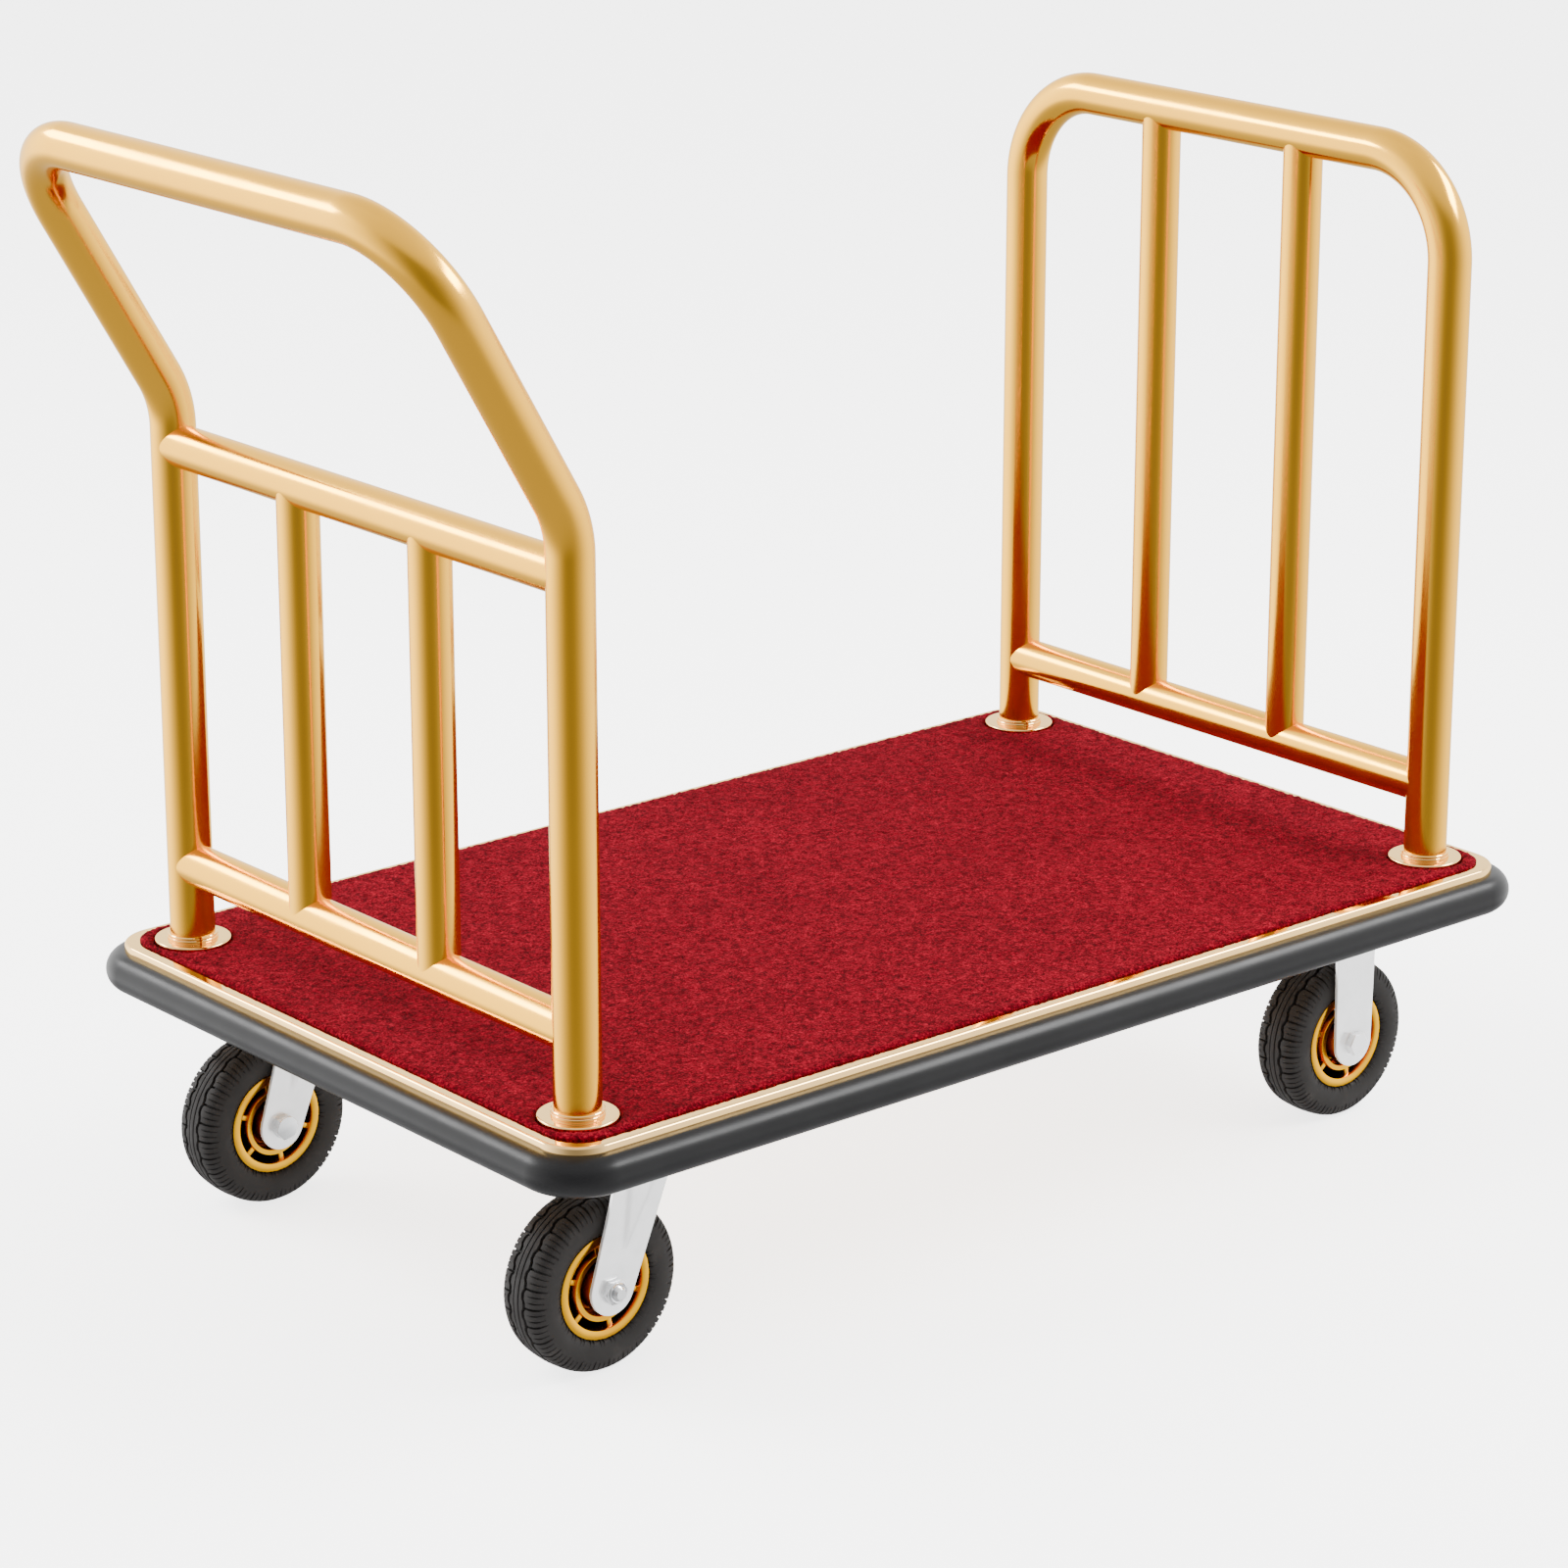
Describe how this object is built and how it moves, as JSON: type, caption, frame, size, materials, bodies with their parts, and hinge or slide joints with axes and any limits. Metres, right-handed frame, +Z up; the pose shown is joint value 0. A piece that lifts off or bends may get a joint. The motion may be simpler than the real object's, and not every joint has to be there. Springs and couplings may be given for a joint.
{
  "type": "hotel luggage cart",
  "caption": "Wheeled luggage cart with a carpeted deck, a slanted push handle at one end, a tall hoop at the other, a rubber bumper and swivel and fixed casters.",
  "frame": {"origin": "on the floor, below the middle of the whole cart's box", "axes": "+X along the cart, from the push handle towards the hoop; +Y to the cart's left; +Z up"},
  "size_m": [1.176, 0.67, 0.955],
  "materials": {
    "gold_tube": "polished champagne-gold stainless tube",
    "gold_sheet": "mirror-polished champagne-gold stainless sheet",
    "plywood": "raw plywood",
    "carpet": "short curled red pile",
    "rubber": "satin black rubber",
    "frame_steel": "grey primed steel",
    "zinc": "bright zinc-plated pressed steel",
    "bearing_steel": "ground steel",
    "yellow_core": "glossy golden-yellow moulded wheel core",
    "tyre": "black moulded rubber tread"
  },
  "bodies": {
    "deck": {"handle_posts": "gold_tube", "handle_grip": "gold_tube", "handle_cross_rail": "gold_tube", "handle_low_rail": "gold_tube", "handle_bars": "gold_tube", "hoop_tube": "gold_tube", "hoop_low_rail": "gold_tube", "hoop_bars": "gold_tube", "post_flanges": "gold_tube", "post_collars": "gold_tube", "deck_tray": "gold_sheet", "deck_board": "plywood", "carpet": "carpet", "bumper": "rubber", "frame_cross_rails": "frame_steel", "frame_long_rails": "frame_steel", "board_screws": "zinc", "post_plugs": "zinc", "post_washers": "zinc", "post_bolts": "zinc", "swivel_plates": "zinc", "kingpins": "zinc", "kingpin_washers": "zinc", "kingpin_nuts": "zinc", "rigid_plates": "zinc", "rigid_fork_left": "zinc", "rigid_fork_right": "zinc", "plate_bolts": "zinc", "plate_washers": "zinc", "plate_nuts": "zinc", "rigid_axle_bolts": "zinc", "rigid_axle_nuts": "zinc", "swivel_races": "bearing_steel", "rigid_axle_sleeves": "bearing_steel"},
    "swivel_left": {"swivel_fork_left": "zinc", "swivel_balls_left": "bearing_steel", "dust_ring_left": "zinc", "axle_sleeve_left": "bearing_steel", "axle_bolt_left": "zinc", "axle_nut_left": "zinc"},
    "swivel_right": {"swivel_fork_right": "zinc", "swivel_balls_right": "bearing_steel", "dust_ring_right": "zinc", "axle_sleeve_right": "bearing_steel", "axle_bolt_right": "zinc", "axle_nut_right": "zinc"},
    "wheel_rear_left": {"rim_rear_left": "yellow_core", "tyre_rear_left": "tyre", "bearing_rear_left": "bearing_steel"},
    "wheel_rear_right": {"rim_rear_right": "yellow_core", "tyre_rear_right": "tyre", "bearing_rear_right": "bearing_steel"},
    "wheel_front_left": {"rim_front_left": "yellow_core", "tyre_front_left": "tyre", "bearing_front_left": "bearing_steel"},
    "wheel_front_right": {"rim_front_right": "yellow_core", "tyre_front_right": "tyre", "bearing_front_right": "bearing_steel"}
  },
  "joints": [
    {"name": "swivel_left_turn", "type": "hinge", "parent": "deck", "child": "swivel_left", "pos_m": [-0.3575, 0.226, 0.176], "axis": [0, 0, 1], "continuous": true},
    {"name": "swivel_right_turn", "type": "hinge", "parent": "deck", "child": "swivel_right", "pos_m": [-0.3575, -0.226, 0.176], "axis": [0, 0, 1], "continuous": true},
    {"name": "wheel_rear_left_spin", "type": "hinge", "parent": "swivel_left", "child": "wheel_rear_left", "pos_m": [-0.3935, 0.226, 0.073], "axis": [0, 1, 0], "continuous": true},
    {"name": "wheel_rear_right_spin", "type": "hinge", "parent": "swivel_right", "child": "wheel_rear_right", "pos_m": [-0.3935, -0.226, 0.073], "axis": [0, 1, 0], "continuous": true},
    {"name": "wheel_front_left_spin", "type": "hinge", "parent": "deck", "child": "wheel_front_left", "pos_m": [0.4465, 0.226, 0.073], "axis": [0, 1, 0], "continuous": true},
    {"name": "wheel_front_right_spin", "type": "hinge", "parent": "deck", "child": "wheel_front_right", "pos_m": [0.4465, -0.226, 0.073], "axis": [0, 1, 0], "continuous": true}
  ]
}
